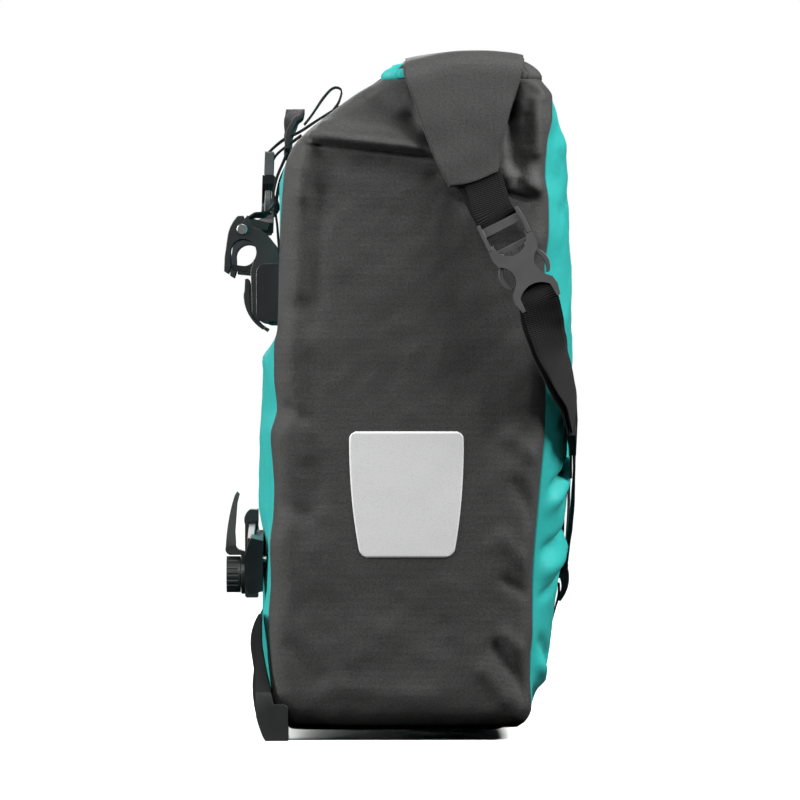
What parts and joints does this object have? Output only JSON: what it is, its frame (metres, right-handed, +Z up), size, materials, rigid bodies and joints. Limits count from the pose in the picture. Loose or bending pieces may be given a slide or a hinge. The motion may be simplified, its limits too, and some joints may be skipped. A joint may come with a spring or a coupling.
{
  "type": "pannier bag",
  "caption": "Roll-top bicycle pannier with sliding spring-latch hooks on a top rail, a turning lower hook on a curved rail, side buckles and a shoulder strap.",
  "frame": {"origin": "centre of the bounding box on the ground plane, under the two feet", "axes": "+Z up, -X towards the bicycle rack, +X the outer face, Y along the bag's width"},
  "size_m": [0.2233, 0.3382, 0.4297],
  "materials": {
    "coated_fabric_teal": "matte coated woven fabric",
    "woven_fabric_dark": "fine-weave nylon with a dry face",
    "webbing": "ribbed woven webbing",
    "buckle_plastic": "satin moulded acetal",
    "gloss_black_plastic": "polished moulded nylon",
    "hook_plastic": "fine spark-eroded texture",
    "knob_plastic": "satin, fluted",
    "board_plastic": "extruded sheet",
    "steel": "stainless",
    "reflector_film": "retroreflective film"
  },
  "bodies": {
    "bag": {"front_panel": "coated_fabric_teal", "back_panel": "coated_fabric_teal", "side_gusset_left": "woven_fabric_dark", "side_gusset_right": "woven_fabric_dark", "base_panel": "woven_fabric_dark", "stiffener_board": "board_plastic", "rolled_top": "coated_fabric_teal", "roll_stiffener": "board_plastic", "roll_flap_left": "woven_fabric_dark", "roll_flap_right": "woven_fabric_dark", "reflector_left": "reflector_film", "reflector_right": "reflector_film", "side_strap_left": "webbing", "side_strap_right": "webbing", "side_buckle_male_left": "buckle_plastic", "side_buckle_male_right": "buckle_plastic", "side_buckle_female_left": "buckle_plastic", "side_buckle_female_right": "buckle_plastic", "top_buckle_male": "buckle_plastic", "top_buckle_female": "buckle_plastic", "shoulder_strap": "webbing", "strap_slider_left": "gloss_black_plastic", "strap_slider_right": "gloss_black_plastic", "strap_hook": "gloss_black_plastic", "strap_hook_loop": "webbing", "top_strap": "webbing", "back_anchor_strap": "webbing", "handle_grip": "webbing", "upper_rail": "hook_plastic", "upper_rail_cap_left": "gloss_black_plastic", "upper_rail_cap_right": "gloss_black_plastic", "lower_rail": "hook_plastic", "lower_rail_cap_left": "gloss_black_plastic", "lower_rail_cap_right": "gloss_black_plastic", "rail_screws": "steel", "rail_nuts": "steel", "edge_guard_left": "hook_plastic", "edge_guard_right": "hook_plastic"},
    "hook_left": {"hook_body_left": "hook_plastic", "latch_rivet_left": "steel", "latch_spring_left": "steel", "handle_leg_left": "webbing"},
    "hook_right": {"hook_body_right": "hook_plastic", "latch_rivet_right": "steel", "latch_spring_right": "steel", "handle_leg_right": "webbing"},
    "latch_left": {"latch_left": "hook_plastic"},
    "latch_right": {"latch_right": "hook_plastic"},
    "rail_lock_left": {"rail_lock_left": "hook_plastic"},
    "rail_lock_right": {"rail_lock_right": "hook_plastic"},
    "carriage": {"lower_carriage": "hook_plastic", "lower_stud": "steel"},
    "lower_hook": {"lower_hook": "hook_plastic"},
    "knob": {"lower_knob": "knob_plastic"},
    "prong_front_left": {"side_buckle_prong_front_left": "buckle_plastic"},
    "prong_back_left": {"side_buckle_prong_back_left": "buckle_plastic"},
    "prong_front_right": {"side_buckle_prong_front_right": "buckle_plastic"},
    "prong_back_right": {"side_buckle_prong_back_right": "buckle_plastic"},
    "top_prong_left": {"top_buckle_prong_left": "buckle_plastic"},
    "top_prong_right": {"top_buckle_prong_right": "buckle_plastic"}
  },
  "joints": [
    {"name": "hook_left_slide", "type": "slide", "parent": "bag", "child": "hook_left", "axis": [0, 1, 0], "range_m": [-0.025, 0.028]},
    {"name": "latch_left_swing", "type": "hinge", "parent": "hook_left", "child": "latch_left", "pos_m": [-0.0992, -0.08, 0.3202], "axis": [0, -1, 0], "range_deg": [0, 38], "stiffness_Nm_per_rad": 0.05, "springref_deg": -17.19},
    {"name": "rail_lock_left_flex", "type": "hinge", "parent": "hook_left", "child": "rail_lock_left", "pos_m": [-0.0959, -0.08, 0.286], "axis": [0, 1, 0], "range_deg": [0, 20], "stiffness_Nm_per_rad": 0.05, "springref_deg": -5.73},
    {"name": "hook_right_slide", "type": "slide", "parent": "bag", "child": "hook_right", "axis": [0, 1, 0], "range_m": [-0.028, 0.025]},
    {"name": "latch_right_swing", "type": "hinge", "parent": "hook_right", "child": "latch_right", "pos_m": [-0.0992, 0.08, 0.3202], "axis": [0, -1, 0], "range_deg": [0, 38], "stiffness_Nm_per_rad": 0.05, "springref_deg": -17.19},
    {"name": "rail_lock_right_flex", "type": "hinge", "parent": "hook_right", "child": "rail_lock_right", "pos_m": [-0.0959, 0.08, 0.286], "axis": [0, 1, 0], "range_deg": [0, 20], "stiffness_Nm_per_rad": 0.05, "springref_deg": -5.73},
    {"name": "carriage_slide", "type": "hinge", "parent": "bag", "child": "carriage", "pos_m": [-0.092, 0, -0.2812], "axis": [1, 0, 0], "range_deg": [-8, 8]},
    {"name": "lower_hook_turn", "type": "hinge", "parent": "carriage", "child": "lower_hook", "pos_m": [-0.1, 0, 0.1014], "axis": [1, 0, 0], "continuous": true},
    {"name": "knob_turn", "type": "hinge", "parent": "carriage", "child": "knob", "pos_m": [-0.106, 0, 0.1014], "axis": [1, 0, 0], "continuous": true},
    {"name": "prong_front_left_squeeze", "type": "hinge", "parent": "bag", "child": "prong_front_left", "pos_m": [0.0789, -0.1645, 0.30967], "axis": [0, 1, 0], "range_deg": [0, 7], "stiffness_Nm_per_rad": 0.05},
    {"name": "prong_back_left_squeeze", "type": "hinge", "parent": "bag", "child": "prong_back_left", "pos_m": [0.0625, -0.1645, 0.30132], "axis": [0, -1, 0], "range_deg": [0, 7], "stiffness_Nm_per_rad": 0.05},
    {"name": "prong_front_right_squeeze", "type": "hinge", "parent": "bag", "child": "prong_front_right", "pos_m": [0.0789, 0.1645, 0.30967], "axis": [0, 1, 0], "range_deg": [0, 7], "stiffness_Nm_per_rad": 0.05},
    {"name": "prong_back_right_squeeze", "type": "hinge", "parent": "bag", "child": "prong_back_right", "pos_m": [0.0625, 0.1645, 0.30132], "axis": [0, -1, 0], "range_deg": [0, 7], "stiffness_Nm_per_rad": 0.05},
    {"name": "top_prong_right_squeeze", "type": "hinge", "parent": "bag", "child": "top_prong_right", "pos_m": [-0.08412, 0.00782, 0.35172], "axis": [-0.9994, 0, 0.0349], "range_deg": [0, 7], "stiffness_Nm_per_rad": 0.05},
    {"name": "top_prong_left_squeeze", "type": "hinge", "parent": "bag", "child": "top_prong_left", "pos_m": [-0.08412, -0.00782, 0.35172], "axis": [0.9994, 0, -0.0349], "range_deg": [0, 7], "stiffness_Nm_per_rad": 0.05}
  ],
  "couplings": [
    {"joint": "prong_back_left_squeeze", "follows": "prong_front_left_squeeze", "ratio": 1},
    {"joint": "prong_back_right_squeeze", "follows": "prong_front_right_squeeze", "ratio": 1},
    {"joint": "top_prong_left_squeeze", "follows": "top_prong_right_squeeze", "ratio": 1}
  ]
}
